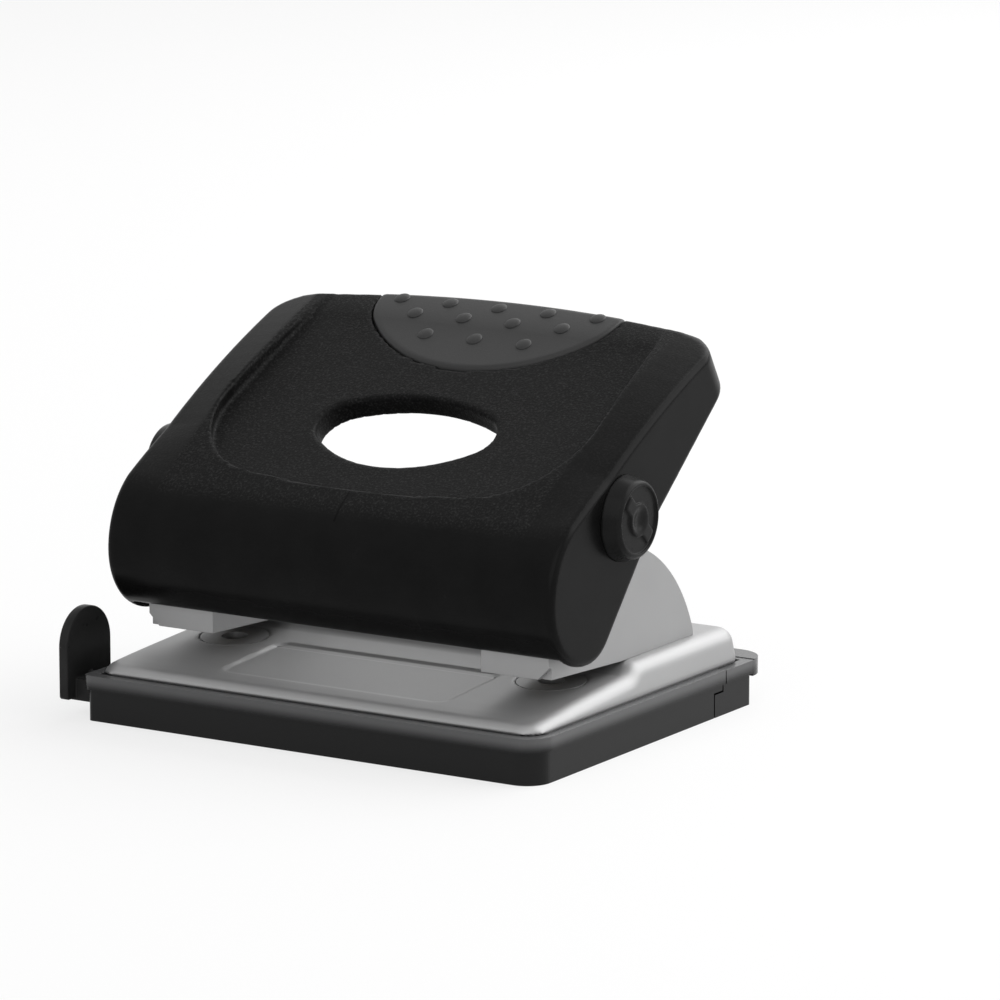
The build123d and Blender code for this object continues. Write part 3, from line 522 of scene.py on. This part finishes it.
def coverField(x, y, z):
    y, z = y - pivot["y"], z - pivot["z"]
    plan = meet(np.abs(x) - c["half"], rearLip(x, y, z), c["cornerRound"])
    (begin, full), (rear, gone), (level, rise) = c["railBegin"], c["railEnd"], c["railMiddle"]
    fade = np.clip((y - begin) / (full - begin), 0, 1) * np.clip((gone - y) / (gone - rear), 0, 1)
    drop = c["railDrop"] * fade * np.clip((np.abs(x) - c["railStart"]) / c["railRun"], 0, 1)
    block = meet(coverProfile(y, z + drop * (z > level + rise * y)), plan, c["edge"])
    room = meet(coverInside(y, z), np.maximum(np.abs(x) - c["insideHalf"], rearLip(x, y, z) + c["drop"]),
                c["roomEdge"])
    under = np.maximum(panelPlan(x, y) - c["wall"], -panelFloor(y, z + c["drop"]))
    room = carve(room, under, c["underEdge"])
    for bossX, bossY, bossZ in c["bosses"]:
        post = np.maximum(np.hypot(np.abs(x) - bossX, y - bossY) - c["bossRadius"], bossZ + c["bracketSheet"] - z)
        room = carve(room, post, c["bossEdge"])
    shell = carve(block, room, c["shellEdge"])
    aside, front = np.abs(x) - c["insideHalf"], c["roll"][0][0]
    opening = np.maximum(np.maximum(z - c["frontLip"], y - front), aside)
    flange = np.abs(y - (c["flangeRoom"] + front) / 2) - (front - c["flangeRoom"]) / 2
    behind = np.maximum(np.maximum(z - c["frontLip"] - c["flangeHeight"], flange), aside)
    shell = carve(carve(shell, opening, c["mouthEdge"]), behind, c["flangeEdge"])
    panel = meet(panelPlan(x, y), -panelFloor(y, z), c["panelFoot"])
    shell = carve(shell, panel, c["panelRim"])
    skin = coverSkin(x, y, z, padSettings["sink"], c["skinEdge"])
    pocket = carve(padShape(x, y, z, padSettings["gap"]), skin, c["pocketFloor"])
    shell = carve(shell, pocket, c["pocketEdge"])
    run = y * upSlope[0] + z * upSlope[1] - c["ovalMiddle"]
    low = np.hypot(x, run + c["ovalHalf"] - c["ovalLow"]) - c["ovalLow"]
    high = np.hypot(x, run - c["ovalHalf"] + c["ovalHigh"]) - c["ovalHigh"]
    lens = meet(low, high, c["ovalTip"])
    lens = np.maximum(lens, np.abs(-y * upSlope[1] + z * upSlope[0] - c["lensMiddle"]) - c["lensReach"])
    rim = np.maximum(lens - c["collarWall"], panelFloor(y, z))
    shell = np.minimum(shell, np.maximum(rim, -panelFloor(y, z + c["collarDepth"])))  # collar round the window
    shell = carve(shell, lens, c["ovalRim"])
    return np.maximum(shell, c["axle"] - np.hypot(y, z))


handleCover = skinField("handleCover", coverField, c["low"], c["high"], c["step"], finishes["handle"])
dress(handleCover, "handle", "black_plastic", "handle_cover")


def padField(x, y, z):
    y, z = y - pivot["y"], z - pivot["z"]
    top = coverSkin(x, y, z, -padSettings["proud"], padSettings["topEdge"])
    body = meet(padShape(x, y, z, 0), top, padSettings["edge"])
    return carve(body, coverSkin(x, y, z, padSettings["sink"], c["skinEdge"]), padSettings["backEdge"])


padSkin = skinField("padSkin", padField, padSettings["low"], padSettings["high"], padSettings["step"],
                    finishes["grip_rubber"])
domes = Growth("domes", firstRow=(pivot["y"] + padSettings["firstRow"]) * millimetre,
               rowPitch=padSettings["rowPitch"] * millimetre, rowShort=padSettings["rowShort"] * millimetre,
               domePitch=padSettings["bumpPitch"] * millimetre,
               firstCount=padSettings["firstCount"], domeRadius=padSettings["bumpRadius"] * millimetre,
               domeHeight=padSettings["bumpHeight"] * millimetre, material=finishes["grip_rubber"])
rows = []
for row in range(padSettings["rows"]):
    count = domes.given("firstCount") + row
    back = domes.given("firstRow") + domes.given("rowPitch") * row - domes.given("rowShort") * (row * (row - 1) / 2)
    start = domes.node("ShaderNodeCombineXYZ", {}, {0: (count - 1) * domes.given("domePitch") * -0.5, 1: back})
    across = domes.node("ShaderNodeCombineXYZ", {}, {0: domes.given("domePitch")})
    rows.append(domes.node("GeometryNodeMeshLine", {}, {"Count": count, "Start Location": start, "Offset": across}))
above = domes.node("ShaderNodeVectorMath", {"operation": "MULTIPLY_ADD"}, {
    0: domes.node("GeometryNodeInputPosition", {}, {}), 1: (1, 1, 0),
    2: (0, 0, padSettings["above"] * millimetre)})
hit = domes.node("GeometryNodeRaycast", {}, {"Target Geometry": domes.given("base"), "Source Position": above,
                                             "Ray Direction": (0, 0, -1), "Ray Length": 1.0}, "Hit Position")
facing = Wire(domes, hit.socket.node.outputs["Hit Normal"])
placed = domes.node("GeometryNodeSetPosition", {}, {"Geometry": domes.joined(rows), "Position": hit})
turned = domes.node("FunctionNodeAlignRotationToVector", {"axis": "Z"}, {"Vector": facing})
size = domes.node("ShaderNodeCombineXYZ", {}, {0: domes.given("domeRadius"), 1: domes.given("domeRadius"),
                                              2: domes.given("domeHeight")})
ball = domes.node("GeometryNodeMeshIcoSphere", {}, {"Radius": 1.0, "Subdivisions": 4})
studs = domes.node("GeometryNodeInstanceOnPoints", {}, {"Points": placed, "Instance": ball, "Rotation": turned,
                                                        "Scale": size})
gripPad = domes.grow("gripPad", domes.joined([domes.given("base"), studs]), padSkin.data)
bpy.data.objects.remove(padSkin)
dress(gripPad, "handle", "grip_rubber", "grip_pad")


# Round caps over the ends of the axle
capSettings = {
    "inner": 55.6, "outer": 59.6, "baseRadius": 9.2, "faceRadius": 8.0, "lean": 0.96, "edge": 0.9, "rim": 0.9,
    "recess": 0.6, "dishEdge": 0.25, "bar": 3.2, "diagonal": 0.7071, "barJoin": 0.4, "barEdge": 0.3,
    "hub": 2.6, "collar": 0.9, "dimple": 0.7, "dimpleEdge": 0.3, "boreDepth": 2.0, "boreRadius": 3.0,
    "step": 0.26, "front": -18.3, "rear": 0.3, "low": 40.7, "high": 59.3,
}


def capField(side):
    s = capSettings

    def field(x, y, z):
        x, y, z = side * x, y - pivot["y"], z - pivot["z"]
        radius = np.hypot(y, z)
        taper = s["baseRadius"] + (s["faceRadius"] - s["baseRadius"]) * (x - s["inner"]) / (s["outer"] - s["inner"])
        body = meet((radius - taper) * s["lean"], x - s["outer"], s["edge"])
        dish = meet(radius - s["faceRadius"] + s["rim"], s["outer"] - s["recess"] - x, s["dishEdge"])
        bar = np.maximum(np.abs((y + z) * s["diagonal"]) - s["bar"] / 2, radius - s["faceRadius"] + 2 * s["rim"])
        raised = join(bar, radius - s["hub"] - s["collar"], s["barJoin"])
        dish = carve(dish, raised, s["barEdge"])
        body = carve(body, dish, s["dishEdge"])
        ball = (s["hub"] ** 2 + s["dimple"] ** 2) / (2 * s["dimple"])
        hollow = np.sqrt((x - s["outer"] - ball + s["dimple"]) ** 2 + radius ** 2) - ball
        body = carve(body, hollow, s["dimpleEdge"])
        body = np.maximum(body, s["inner"] - x)
        return np.maximum(body, np.minimum(s["inner"] + s["boreDepth"] - x, s["boreRadius"] - radius))
    return field


for side, word in ((-1, "left"), (1, "right")):
    s = capSettings
    first, last = sorted((side * s["inner"], side * s["outer"]))
    cap = skinField(word + "Cap", capField(side), (first, s["front"], s["low"]), (last, s["rear"], s["high"]),
                    s["step"], finishes["cap"])
    dress(cap, "handle", "black_plastic", "axle_cap_" + word)
print("handle made")


# Base plate: pressed sheet with a sloped table, a riser and a plateau
plateSettings = {
    "half": 54.8, "halfDepth": 42.8, "corner": 5.0, "draft": 0.19, "draftStart": 0.8, "bottom": 10.0,
    "frontTop": 12.3, "frontDrop": 0.9, "frontRun": 4.5, "slopeEnd": -2.0, "slopeTop": 14.9, "plateau": 17.3,
    "riser": ((-5.0, 14.71), (-2.4, 15.0), (0.4, 17.15), (3.5, 17.3), (50.0, 17.3)),
    "edge": 2.8, "sheet": 1.2, "step": 0.66, "far": 70.0, "deep": -20.0,
    "panelHalf": 28.0, "panelFront": -35.0, "panelBack": -11.5, "panelDepth": 0.5, "panelCorner": 3.0,
    "panelEdge": 0.45, "dieX": 40.0, "dieY": -12.0, "dieRadius": 7.42,
    "rivetX": 41.8, "rivetRows": (7.0, 21.0), "rivetRadius": 2.0,
}
p = plateSettings
plateTilt = (p["slopeTop"] - p["frontTop"]) / (p["slopeEnd"] + p["halfDepth"])
plateShoulder = (p["frontRun"] - p["halfDepth"], p["frontTop"] + p["frontRun"] * plateTilt)
plateFall = plateTilt + p["frontDrop"] / p["frontRun"]
plateStart = (-p["far"], plateShoulder[1] - (p["far"] + plateShoulder[0]) * plateFall)
plateTop = softened([(-p["halfDepth"], p["frontTop"] - p["frontDrop"]), plateShoulder] + list(p["riser"]), 2)
plateProfile = outline([(-p["far"], p["deep"]), plateStart] + plateTop
                       + [(p["far"], p["plateau"]), (p["far"], p["deep"])])


def plateField(x, y, z):
    slant = p["draft"] * np.maximum(z - p["bottom"] - p["draftStart"], 0)
    plan = roundedPlan(x, y, p["half"], p["halfDepth"], p["corner"]) + slant
    body = meet(plateProfile(y, z), plan, p["edge"])
    inner = body + p["sheet"]
    middle = (p["panelFront"] + p["panelBack"]) / 2
    table = p["frontTop"] + plateTilt * (y + p["halfDepth"]) - p["panelDepth"]
    sunk = meet(roundedPlan(x, y - middle, p["panelHalf"], (p["panelBack"] - p["panelFront"]) / 2,
                            p["panelCorner"]), table - z, p["panelEdge"])
    body = carve(body, sunk, p["panelEdge"])
    body = np.maximum(body, -inner)
    body = np.maximum(body, p["bottom"] - z)
    body = np.maximum(body, p["dieRadius"] - np.hypot(np.abs(x) - p["dieX"], y - p["dieY"]))
    for row in p["rivetRows"]:
        body = np.maximum(body, p["rivetRadius"] - np.hypot(np.abs(x) - p["rivetX"], y - row))
    return body


basePlate = skinField("basePlate", plateField, (-p["half"], -p["halfDepth"], p["bottom"]),
                      (p["half"], p["halfDepth"], p["plateau"]), p["step"], finishes["satin_steel"])
dress(basePlate, "base", "satin_steel", "base_plate")


# Pieces whose CAD form is right: a merged copy with its edges broken
bevelSettings = {"segments": 2, "angle": 32, "sharpAngle": 38, "flatLean": 8, "flatArea": 2.0, "merge": 0.002,
                 "level": 0.6}


def brokenEdges(node, name, width, material, body, slot):
    s = bevelSettings
    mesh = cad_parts[node].data.copy()
    mesh.name = name
    places = np.array([vertex.co for vertex in mesh.vertices])
    shape = bmesh.new()
    shape.from_mesh(mesh)
    bmesh.ops.remove_doubles(shape, verts=shape.verts, dist=s["merge"] * millimetre)
    bmesh.ops.dissolve_limit(shape, angle_limit=radians(s["level"]), verts=shape.verts, edges=shape.edges)
    shape.to_mesh(mesh)
    shape.free()
    mesh.materials.clear()
    mesh.materials.append(material)
    piece = bpy.data.objects.new(name, mesh)
    bpy.context.scene.collection.objects.link(piece)
    bevel = piece.modifiers.new("edges", "BEVEL")
    bevel.width = width * millimetre
    bevel.segments = s["segments"]
    bevel.limit_method = "ANGLE"
    bevel.angle_limit = radians(s["angle"])
    bevel.use_clamp_overlap = True
    bpy.context.view_layer.update()
    final = bpy.data.meshes.new_from_object(piece.evaluated_get(bpy.context.evaluated_depsgraph_get()))
    piece.modifiers.clear()
    piece.data = final
    moved = np.array([vertex.co for vertex in final.vertices]).clip(places.min(axis=0), places.max(axis=0))
    final.vertices.foreach_set("co", moved.ravel())
    final.update()
    final.shade_smooth()
    final.set_sharp_from_angle(angle=radians(s["sharpAngle"]))
    leaning = [min(face.normal.dot(final.corner_normals[corner].vector) for corner in face.loop_indices)
               < cos(radians(s["flatLean"])) and face.area > s["flatArea"] * millimetre ** 2
               for face in final.polygons]
    for face, flat in zip(final.polygons, leaning):  # a wide face stays flat beside its rounded edge
        face.use_smooth = not flat
    dress(piece, body, slot, node)
    return piece


edgeSettings = (
    ("chip_tray", "chipTray", 0.5, "base", "smoky_plastic"),
    ("chip_door", "chipDoor", 0.5, "door", "smoky_plastic"),
    ("frame_left", "leftCarrier", 0.25, "base", "satin_steel"),
    ("frame_right", "rightCarrier", 0.25, "base", "satin_steel"),
    ("paper_guide", "paperGuide", 0.6, "guide", "black_plastic"),
)
for node, name, width, body, slot in edgeSettings:
    brokenEdges(node, name, width, finishes["guide" if body == "guide" else slot], body, slot)
print("base made")


# Rivets, screws and springs
rivetSettings = {
    "radius": 2.0, "head": 3.4, "headHeight": 1.1, "low": 16.1, "high": 18.5, "shoulder": (0.66, 0.74), "brim": 0.15,
    "sides": 40, "width": 83.6, "length": 14.0, "middle": 14.0,
}
screwSettings = {
    "radius": 1.4, "head": 2.7, "headLow": 0.6, "headHigh": 2.1, "top": 12.8, "rise": 3.9, "riseFrom": 8.0,
    "overlap": 0.5, "round": 0.35, "neck": 0.2, "crossHalf": 0.38, "crossReach": 1.7, "crossDepth": 0.9,
    "crossEdge": 0.1, "step": 0.2, "width": 98.0, "length": 39.0, "middle": -5.5,
}
springSettings = {
    "radius": 4.0, "wire": 0.45, "turns": 5.0, "low": 27.7, "high": 39.5, "foot": 27.25, "x": 40.0, "y": -12.0,
    "stroke": 6.05,
}


def rivetShape():
    s = rivetSettings
    out, up = s["shoulder"]
    crown = arcPoints((0, s["high"] + s["headHeight"]), (s["head"] * out, s["high"] + s["headHeight"] * up),
                      (s["head"], s["high"] + s["brim"]), 10)
    lower = [(r, s["low"] + s["high"] - z) for r, z in crown]
    profile = crown + [(s["head"], s["high"]), (s["radius"], s["high"]), (s["radius"], s["low"]),
                       (s["head"], s["low"])] + lower[::-1]
    shape = bmesh.new()
    places = [shape.verts.new((r * millimetre, 0, z * millimetre)) for r, z in profile]
    lines = [shape.edges.new(pair) for pair in zip(places, places[1:])]
    bmesh.ops.spin(shape, geom=places + lines, axis=(0, 0, 1), cent=(0, 0, 0), angle=2 * pi, steps=s["sides"],
                   use_merge=True)
    bmesh.ops.remove_doubles(shape, verts=shape.verts, dist=1e-6)
    bmesh.ops.recalc_face_normals(shape, faces=shape.faces)
    mesh = bpy.data.meshes.new("rivetShape")
    shape.to_mesh(mesh)
    shape.free()
    piece = bpy.data.objects.new("rivetShape", mesh)
    bpy.context.scene.collection.objects.link(piece)
    return piece


def screwField(x, y, z):
    s = screwSettings
    radius = np.hypot(x, y)
    middle, half = (s["headLow"] + s["headHigh"]) / 2, (s["headHigh"] - s["headLow"]) / 2
    head = meet(radius - s["head"], np.abs(z - middle) - half, s["round"])
    shank = np.maximum(radius - s["radius"], np.maximum(s["headHigh"] - s["overlap"] - z, z - s["top"]))
    wide, narrow = np.maximum(np.abs(x), np.abs(y)), np.minimum(np.abs(x), np.abs(y))
    cross = np.maximum(narrow - s["crossHalf"], wide - s["crossReach"])
    cross = np.maximum(cross, z - s["headLow"] - s["crossDepth"])
    return carve(join(head, shank, s["neck"]), cross, s["crossEdge"])


def gridOf(name, kind, shape, material):
    grown = Growth(name, width=kind["width"] * millimetre, length=kind["length"] * millimetre,
                   middle=kind["middle"] * millimetre, rise=kind.get("rise", 0.0) * millimetre,
                   riseFrom=kind.get("riseFrom", 0.0) * millimetre, turn=2 * pi if "crossHalf" in kind else 0.0,
                   seed=7, shape=shape, material=material)
    flat = grown.node("GeometryNodeMeshGrid", {}, {"Size X": grown.given("width"), "Size Y": grown.given("length"),
                                                   "Vertices X": 2, "Vertices Y": 2})
    centre = grown.node("ShaderNodeCombineXYZ", {}, {1: grown.given("middle")})
    placed = grown.node("GeometryNodeTransform", {}, {"Geometry": flat, "Translation": centre})
    angle = grown.node("FunctionNodeRandomValue", {"data_type": "FLOAT"}, {3: grown.given("turn"),
                                                                           8: grown.given("seed")}, 1)
    spin = grown.node("ShaderNodeCombineXYZ", {}, {2: angle})
    source = grown.node("GeometryNodeObjectInfo", {}, {"Object": grown.given("shape")}, "Geometry")
    copies = grown.node("GeometryNodeInstanceOnPoints", {}, {"Points": placed, "Instance": source, "Rotation": spin})
    real = grown.node("GeometryNodeRealizeInstances", {}, {"Geometry": copies})
    position = grown.node("GeometryNodeInputPosition", {}, {})
    rear = grown.node("ShaderNodeSeparateXYZ", {}, (position,), "Y").maths("GREATER_THAN", 0.0)
    upper = grown.node("ShaderNodeSeparateXYZ", {}, (position,), "Z").maths("GREATER_THAN", grown.given("riseFrom"))
    lift = grown.node("ShaderNodeCombineXYZ", {}, {2: rear * upper * grown.given("rise")})
    raised = grown.node("GeometryNodeSetPosition", {}, {"Geometry": real, "Offset": lift})
    piece = grown.grow(name, raised)
    bpy.data.objects.remove(shape)
    return piece


rivets = gridOf("carrierRivets", rivetSettings, rivetShape(), finishes["satin_steel"])
dress(rivets, "base", "satin_steel", "frame_rivets")
s = screwSettings
screwShape = skinField("screwShape", screwField, (-s["head"], -s["head"], s["headLow"]),
                       (s["head"], s["head"], s["top"]), s["step"], finishes["bright_steel"])
screws = gridOf("baseScrews", screwSettings, screwShape, finishes["bright_steel"])
dress(screws, "base", "bright_steel", "base_screws")

for side, word in ((-1, "left"), (1, "right")):
    s = springSettings
    coil = Growth(word + "Coil", coilRadius=s["radius"] * millimetre, wireRadius=s["wire"] * millimetre,
                  turns=s["turns"], climb=(s["high"] - s["low"]) * millimetre,
                  foot=(side * s["x"] * millimetre, s["y"] * millimetre, s["low"] * millimetre),
                  material=finishes["bright_steel"])
    path = coil.node("GeometryNodeCurveSpiral", {}, {"Resolution": 40, "Rotations": coil.given("turns"),
                                                     "Start Radius": coil.given("coilRadius"),
                                                     "End Radius": coil.given("coilRadius"),
                                                     "Height": coil.given("climb")})
    ring = coil.node("GeometryNodeCurvePrimitiveCircle", {"mode": "RADIUS"}, {"Resolution": 14,
                                                                             "Radius": coil.given("wireRadius")})
    wire = coil.node("GeometryNodeCurveToMesh", {}, {"Curve": path, "Profile Curve": ring, "Fill Caps": True})
    placed = coil.node("GeometryNodeTransform", {}, {"Geometry": wire, "Translation": coil.given("foot")})
    spring = coil.grow(word + "Spring", placed)
    dress(spring, "base", "bright_steel", "pin_spring_" + word)
    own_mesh(spring)
print("fasteners and springs made")

# Hidden pieces keep their CAD form
keptFinishes = {
    "door_hinge_pins": "bright_steel", "tie_rod": "bright_steel", "pivot_axle": "bright_steel",
    "axle_clips": "dark_steel", "lever_bracket": "dark_steel", "cover_screws": "bright_steel",
}
for word in ("left", "right"):
    keptFinishes |= {"die_" + word: "die", "lower_bush_" + word: "bush_brass", "upper_bush_" + word: "bush_brass",
                     "carriage_" + word: "dark_steel", "punch_pin_" + word: "bright_steel",
                     "drive_stud_" + word: "bright_steel"}
for node, slot in keptFinishes.items():
    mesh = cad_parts[node].data
    mesh.materials.clear()
    mesh.materials.append(finishes[slot])


# Floor, background and lights
stageSettings = {"floorDepth": 0.03, "floorColour": 0.93, "glowShare": 0.75, "worldColour": 0.36, "floorSize": 6.0,
                 "lampTarget": (0, 0, 0.04)}
floorMesh = bpy.data.meshes.new("floor")
size = stageSettings["floorSize"]
depth = -stageSettings["floorDepth"] * millimetre
corners = [(x * size, y * size, depth) for x, y in ((-1, -1), (1, -1), (1, 1), (-1, 1))]
floorMesh.from_pydata(corners, [], [(0, 1, 2, 3)])
floorFinish = Finish("floorPaper", **{"Base Color": grey(stageSettings["floorColour"]), "Roughness": 0.9,
                                     "Specular IOR Level": 0.1})


def seenDirectly(finish):
    rays = [finish.node("ShaderNodeLightPath", {}, {}, ray)
            for ray in ("Is Camera Ray", "Is Glossy Ray", "Is Transmission Ray")]
    return rays[0].maths("MAXIMUM", rays[1]).maths("MAXIMUM", rays[2])


glow = floorFinish.node("ShaderNodeEmission", {}, {"Strength": 1.0})
paper = Wire(floorFinish, floorFinish.shader.outputs[0])
share = seenDirectly(floorFinish) * stageSettings["glowShare"]
fromAbove = floorFinish.node("ShaderNodeMixShader", {}, (share, paper, glow))
clear = floorFinish.node("ShaderNodeBsdfTransparent", {}, {})  # the floor hides nothing from below
underneath = floorFinish.node("ShaderNodeNewGeometry", {}, {}, "Backfacing")
whole = floorFinish.node("ShaderNodeMixShader", {}, (underneath, fromAbove, clear))
ending = next(n for n in floorFinish.tree.nodes if n.type == "OUTPUT_MATERIAL")
floorFinish.tree.links.new(whole.socket, ending.inputs["Surface"])
floorMesh.materials.append(floorFinish.material)
floor = bpy.data.objects.new("floor", floorMesh)
bpy.context.scene.collection.objects.link(floor)

world = bpy.data.worlds.new("studio")
bpy.context.scene.world = world
world.use_nodes = True
background = next(n for n in world.node_tree.nodes if n.type == "BACKGROUND")


class Sky:
    node = Finish.node
    tree = world.node_tree


sky = Sky()
level = seenDirectly(sky) * (1 - stageSettings["worldColour"]) + stageSettings["worldColour"]
world.node_tree.links.new(level.socket, background.inputs["Strength"])
background.inputs["Color"].default_value = (1, 1, 1, 1)

lampSettings = (
    ("rearRightLamp", (0.7, 0.75, 0.95), 1.6, 18.0),
    ("rearLamp", (-0.1, 1.1, 0.8), 1.2, 5.0),
    ("frontLamp", (0.3, -1.1, 0.9), 1.4, 4.5),
)
for name, place, size, power in lampSettings:
    lampData = bpy.data.lights.new(name, "AREA")
    lampData.shape = "DISK"
    lampData.size = size
    lampData.energy = power
    lamp = bpy.data.objects.new(name, lampData)
    lamp.location = place
    lamp.rotation_euler = (Vector(stageSettings["lampTarget"]) - Vector(place)).to_track_quat("-Z", "Y").to_euler()
    bpy.context.scene.collection.objects.link(lamp)

bpy.context.scene.view_settings.view_transform = "Standard"

print("scene ready")
